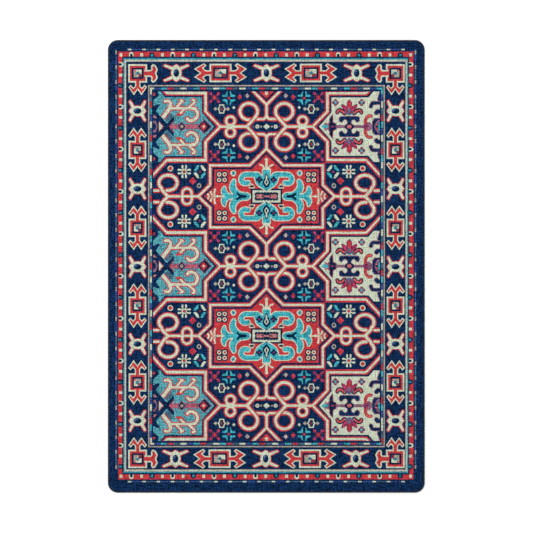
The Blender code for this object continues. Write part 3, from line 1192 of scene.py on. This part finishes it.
def whipping_tree(material, wrap, bed):
    """Wraps set at even steps along a path, turned to face out from it, over a plain bed."""
    tree = bpy.data.node_groups.new("whipped_edge", "GeometryNodeTree")
    tree.is_modifier = True
    face = tree.interface
    face.new_socket("Geometry", in_out="INPUT", socket_type="NodeSocketGeometry")
    for name, kind, value in (("Wraps", "NodeSocketInt", 100), ("Unevenness", "NodeSocketFloat", 0.0),
                              ("Seed", "NodeSocketInt", 1)):
        face.new_socket(name, in_out="INPUT", socket_type=kind).default_value = value
    face.new_socket("Geometry", in_out="OUTPUT", socket_type="NodeSocketGeometry")
    given = add_node(tree, "NodeGroupInput").outputs
    path = add_node(tree, "GeometryNodeMeshToCurve", {"Mesh": given["Geometry"]})
    steps = add_node(tree, "GeometryNodeResampleCurve", {"Curve": path.outputs[0], "Count": given["Wraps"]},
                     mode="COUNT")
    tangent = add_node(tree, "GeometryNodeInputTangent")
    turned = add_node(tree, "FunctionNodeAlignRotationToVector", {"Vector": tangent.outputs[0]}, axis="Y",
                      pivot_axis="Z")
    wobble = add_node(tree, "FunctionNodeRandomValue", {"Min": 1.0, "Max": 1.0, "Seed": given["Seed"]})
    spread = add_node(tree, "ShaderNodeMath", {0: 1.0, 1: given["Unevenness"]}, operation="ADD")
    tree.links.new(spread.outputs[0], wobble.inputs[3])
    size = add_node(tree, "ShaderNodeCombineXYZ", {"X": 1.0, "Y": wobble.outputs[1], "Z": 1.0})
    wrap_info = add_node(tree, "GeometryNodeObjectInfo", {"Object": wrap})
    set_out = add_node(tree, "GeometryNodeInstanceOnPoints", {"Points": steps.outputs[0],
                       "Instance": wrap_info.outputs["Geometry"], "Rotation": turned.outputs[0],
                       "Scale": size.outputs[0]})
    solid = add_node(tree, "GeometryNodeRealizeInstances", {"Geometry": set_out.outputs[0]})
    bed_info = add_node(tree, "GeometryNodeObjectInfo", {"Object": bed})
    joined = add_node(tree, "GeometryNodeJoinGeometry")
    tree.links.new(solid.outputs[0], joined.inputs[0])
    tree.links.new(bed_info.outputs["Geometry"], joined.inputs[0])
    dressed = add_node(tree, "GeometryNodeSetMaterial", {"Geometry": joined.outputs[0], "Material": material})
    add_node(tree, "NodeGroupOutput", {"Geometry": dressed.outputs[0]})
    return tree


serging_material, tree, shader, place = cloth_material("whipped_nylon_yarn_near_black", 0.9, 0.15)
ply = add_node(tree, "ShaderNodeTexNoise", {"Vector": place, "Scale": 1 / (1.0 * MM),
                                            "Detail": 3.0}).outputs["Fac"]
patch = add_node(tree, "ShaderNodeTexNoise", {"Vector": place, "Scale": 1 / (14 * MM),
                                              "Detail": 2.0}).outputs["Fac"]
shade = add_node(tree, "ShaderNodeMix", {0: 0.5, 2: ply, 3: patch}).outputs[0]
tree.links.new(colour_steps(tree, shade, ((0.35, "#0a0f1c"), (0.5, "#131c30"), (0.65, "#22304a"))),
               shader.inputs["Base Color"])
twist = add_node(tree, "ShaderNodeBump", {"Height": ply, "Distance": 0.4 * MM, "Strength": 0.8})
tree.links.new(twist.outputs["Normal"], shader.inputs["Normal"])

edge_points = [(x * MM, y * MM, 0.0) for x, y in rug_outline(0.0)]
edge_mesh = bpy.data.meshes.new("whipped_edge")
edge_count = len(edge_points)
edge_mesh.from_pydata(edge_points, [(step, (step + 1) % edge_count) for step in range(edge_count)], [])
edge = bpy.data.objects.new("whipped_edge_path", edge_mesh)
wrap = bpy.data.objects.new("yarn_wrap", wrap_mesh())
bed_section = [(SERGING_REACH, 0.3), (SERGING_REACH, 1.2), (1.4, 1.2), (1.4, 6.6), (SERGING_REACH, 6.6),
               (SERGING_REACH, 7.4), (3.4, 7.4), (1.3, 6.3), (0.6, 3.9), (1.3, 1.5), (3.4, 0.3)]
bed = closed_piece("yarn_bed", *swept_rim(bed_section[::-1]), serging_material)
for helper in (edge, wrap):
    bpy.context.scene.collection.objects.link(helper)
perimeter = sum(math.dist(a, b) for a, b in zip(edge_points, edge_points[1:] + edge_points[:1]))
whipping = edge.modifiers.new("whipping", "NODES")
whipping.node_group = whipping_tree(serging_material, wrap, bed)
given = [item for item in whipping.node_group.interface.items_tree if item.in_out == "INPUT"]
sockets = {item.name: item.identifier for item in given}
whipping[sockets["Wraps"]] = round(perimeter / (WRAP_PITCH * MM))
whipping[sockets["Unevenness"]] = UNEVENNESS
whipping[sockets["Seed"]] = WRAP_SEED
bpy.context.view_layer.update()
made = bpy.data.meshes.new_from_object(edge.evaluated_get(bpy.context.evaluated_depsgraph_get()))
made.name = "whipped_edge"
made.shade_smooth()
made.set_sharp_from_angle(angle=math.radians(60))
whipped_edge = bpy.data.objects.new("whipped_edge", made)
bpy.context.scene.collection.objects.link(whipped_edge)
for helper in (edge, wrap, bed):
    bpy.data.objects.remove(helper, do_unlink=True)
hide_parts("serging")
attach(whipped_edge, "root")

# ---------------------------------------------------------------------------------------------
# Care label. A blank spun-bonded cloth label, glued to the underside near one corner.
# Only its stitched-looking pressed border breaks its plain face.
# ---------------------------------------------------------------------------------------------

label = dress("care_label", woven_tape("label_cloth_spun_white", 0.5 * MM, "#c9c8c0", "#efeee8", 0.05 * MM))

# ---------------------------------------------------------------------------------------------
# Studio. A white floor, even light from all round with a little more from the upper left,
# and a camera straight above the rug.
# ---------------------------------------------------------------------------------------------

VIEW_WIDTH = 2.689
VIEW_MIDDLE = (0.001, -0.0008)
LENS = 85.0
SENSOR = 36.0
FLOOR_REACH = 40.0
FLOOR_GAP = 0.0005  # under the rug
SKY_STRENGTH = 0.74
LAMP_PLACE = (-1.6, 1.8, 6.0)
LAMP_SIZE = 4.0
LAMP_WATTS = 220.0

floor_mesh = bpy.data.meshes.new("floor")
floor_corners = [(x * FLOOR_REACH, y * FLOOR_REACH, 0.0) for x, y in ((-1, -1), (1, -1), (1, 1), (-1, 1))]
floor_mesh.from_pydata(floor_corners, [], [(0, 1, 2, 3)])
floor = bpy.data.objects.new("floor", floor_mesh)
floor.location.z = -FLOOR_GAP
bpy.context.scene.collection.objects.link(floor)
floor_material = bpy.data.materials.new("matt_white_floor")
floor_material.use_nodes = True
floor_shader = floor_material.node_tree.nodes["Principled BSDF"]
floor_shader.inputs["Base Color"].default_value = linear("#fbfbfa")
floor_shader.inputs["Roughness"].default_value = 1.0
floor_shader.inputs["Specular IOR Level"].default_value = 0.0
floor_mesh.materials.append(floor_material)

world = bpy.data.worlds.new("soft_studio")
world.use_nodes = True
world.node_tree.nodes["Background"].inputs["Color"].default_value = (1.0, 1.0, 1.0, 1.0)
world.node_tree.nodes["Background"].inputs["Strength"].default_value = SKY_STRENGTH
bpy.context.scene.world = world

lamp_data = bpy.data.lights.new("soft_box", "AREA")
lamp_data.shape = "DISK"
lamp_data.size = LAMP_SIZE
lamp_data.energy = LAMP_WATTS
lamp = bpy.data.objects.new("soft_box", lamp_data)
lamp.location = LAMP_PLACE
lamp.rotation_euler = (Vector((0.0, 0.0, 0.0)) - lamp.location).to_track_quat("-Z", "Y").to_euler()
bpy.context.scene.collection.objects.link(lamp)

camera_data = bpy.data.cameras.new("camera")
camera_data.lens = LENS
camera_data.sensor_width = SENSOR
camera = bpy.data.objects.new("camera", camera_data)
camera.location = (*VIEW_MIDDLE, rug_high.z + VIEW_WIDTH * LENS / SENSOR)
camera_data.clip_end = 100.0
bpy.context.scene.collection.objects.link(camera)
bpy.context.scene.camera = camera
bpy.context.scene.view_settings.view_transform = "Standard"
